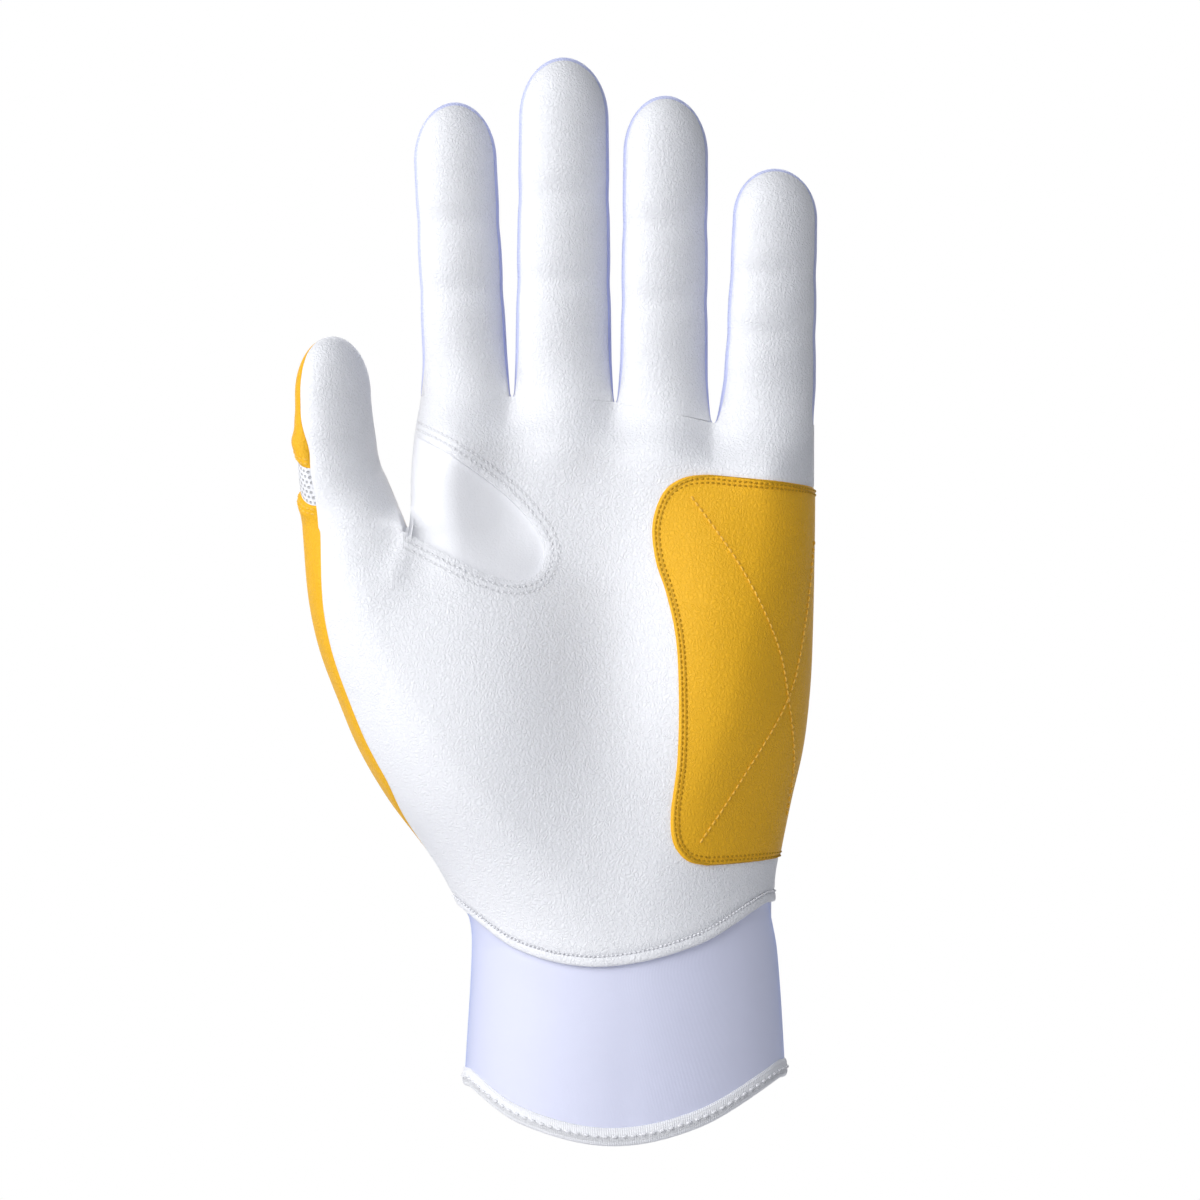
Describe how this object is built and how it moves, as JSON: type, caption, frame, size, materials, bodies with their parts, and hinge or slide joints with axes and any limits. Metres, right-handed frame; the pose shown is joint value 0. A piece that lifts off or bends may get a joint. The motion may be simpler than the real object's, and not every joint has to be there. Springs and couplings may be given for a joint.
{
  "type": "batting glove",
  "caption": "Left-hand batting glove with leather palm, yellow heel patch, stretch finger walls, mesh knuckles and a strapped wrist cuff; fingers, thumb and strap bend.",
  "frame": {"origin": "middle of the wrist opening, level with the lowest point of the cuff", "axes": "+Z along the fingers, -Y out of the palm, -X towards the thumb"},
  "size_m": [0.1194, 0.0567, 0.2447],
  "materials": {
    "white_leather": "fine-grained matte",
    "gusset_leather": "smooth matte",
    "yellow_leather": "fine-grained satin",
    "stretch_wall": "fine knit",
    "knuckle_mesh": "open knit",
    "cuff_satin": "smooth satin over foam rubber",
    "tape": "folded tape",
    "foam": "soft open foam",
    "closure_pile": "hook and loop pile"
  },
  "bodies": {
    "hand": {"palm_leather": "white_leather", "thumb_gusset": "gusset_leather", "heel_patch": "yellow_leather", "heel_foam": "foam", "backhand_panel": "yellow_leather", "knuckle_band": "knuckle_mesh", "cuff_front": "cuff_satin", "cuff_back_radial": "cuff_satin", "cuff_back_ulnar": "cuff_satin", "cuff_binding": "tape", "palm_hem_binding": "white_leather", "loop_patch": "closure_pile"},
    "closure_strap": {"strap": "cuff_satin", "hook_patch": "closure_pile"},
    "index_base": {"index_front_lower": "white_leather", "index_back_lower": "white_leather", "index_knuckle_mesh": "knuckle_mesh", "index_wall_thumb_side": "stretch_wall", "index_wall_little_side": "stretch_wall"},
    "index_end": {"index_front_upper": "white_leather", "index_back_upper": "white_leather", "index_wall_upper": "stretch_wall"},
    "middle_base": {"middle_front_lower": "white_leather", "middle_back_lower": "white_leather", "middle_knuckle_mesh": "knuckle_mesh", "middle_wall_thumb_side": "stretch_wall", "middle_wall_little_side": "stretch_wall"},
    "middle_end": {"middle_front_upper": "white_leather", "middle_back_upper": "white_leather", "middle_wall_upper": "stretch_wall"},
    "ring_base": {"ring_front_lower": "white_leather", "ring_back_lower": "white_leather", "ring_knuckle_mesh": "knuckle_mesh", "ring_wall_thumb_side": "stretch_wall", "ring_wall_little_side": "stretch_wall"},
    "ring_end": {"ring_front_upper": "white_leather", "ring_back_upper": "white_leather", "ring_wall_upper": "stretch_wall"},
    "little_base": {"little_front_lower": "white_leather", "little_back_lower": "white_leather", "little_knuckle_mesh": "knuckle_mesh", "little_wall_thumb_side": "stretch_wall", "little_wall_little_side": "stretch_wall"},
    "little_end": {"little_front_upper": "white_leather", "little_back_upper": "white_leather", "little_wall_upper": "stretch_wall"},
    "thumb_base": {"thumb_front_lower": "white_leather", "thumb_back_lower": "yellow_leather", "thumb_knuckle_mesh": "knuckle_mesh"},
    "thumb_end": {"thumb_front_upper": "white_leather", "thumb_back_upper": "yellow_leather"}
  },
  "joints": [
    {"name": "index_root", "type": "hinge", "parent": "hand", "child": "index_base", "pos_m": [-0.0359, -0.0093, 0.16835], "axis": [1, 0, 0], "range_deg": [0, 85], "stiffness_Nm_per_rad": 0.03},
    {"name": "index_knuckle", "type": "hinge", "parent": "index_base", "child": "index_end", "pos_m": [-0.0359, -0.0093, 0.192], "axis": [1, 0, 0], "range_deg": [0, 90], "stiffness_Nm_per_rad": 0.03},
    {"name": "middle_root", "type": "hinge", "parent": "hand", "child": "middle_base", "pos_m": [-0.0141, -0.0098, 0.1676], "axis": [1, 0, 0], "range_deg": [0, 85], "stiffness_Nm_per_rad": 0.03},
    {"name": "middle_knuckle", "type": "hinge", "parent": "middle_base", "child": "middle_end", "pos_m": [-0.0141, -0.0098, 0.194], "axis": [1, 0, 0], "range_deg": [0, 90], "stiffness_Nm_per_rad": 0.03},
    {"name": "ring_root", "type": "hinge", "parent": "hand", "child": "ring_base", "pos_m": [0.0087, -0.0093, 0.16465], "axis": [1, 0, 0], "range_deg": [0, 85], "stiffness_Nm_per_rad": 0.03},
    {"name": "ring_knuckle", "type": "hinge", "parent": "ring_base", "child": "ring_end", "pos_m": [0.0087, -0.0093, 0.1895], "axis": [1, 0, 0], "range_deg": [0, 90], "stiffness_Nm_per_rad": 0.03},
    {"name": "little_root", "type": "hinge", "parent": "hand", "child": "little_base", "pos_m": [0.032, -0.0088, 0.16215], "axis": [1, 0, 0], "range_deg": [0, 85], "stiffness_Nm_per_rad": 0.03},
    {"name": "little_knuckle", "type": "hinge", "parent": "little_base", "child": "little_end", "pos_m": [0.032, -0.0088, 0.182], "axis": [1, 0, 0], "range_deg": [0, 90], "stiffness_Nm_per_rad": 0.03},
    {"name": "thumb_root", "type": "hinge", "parent": "hand", "child": "thumb_base", "pos_m": [-0.0612, -0.01885, 0.1385], "axis": [1, 0, 0], "range_deg": [0, 35], "stiffness_Nm_per_rad": 0.03},
    {"name": "thumb_knuckle", "type": "hinge", "parent": "thumb_base", "child": "thumb_end", "pos_m": [-0.0612, -0.01885, 0.155], "axis": [1, 0, 0], "range_deg": [0, 60], "stiffness_Nm_per_rad": 0.03},
    {"name": "strap_hinge", "type": "hinge", "parent": "hand", "child": "closure_strap", "pos_m": [0.0405, 0.006, 0.032], "axis": [0, 0, -1], "range_deg": [0, 140]}
  ]
}
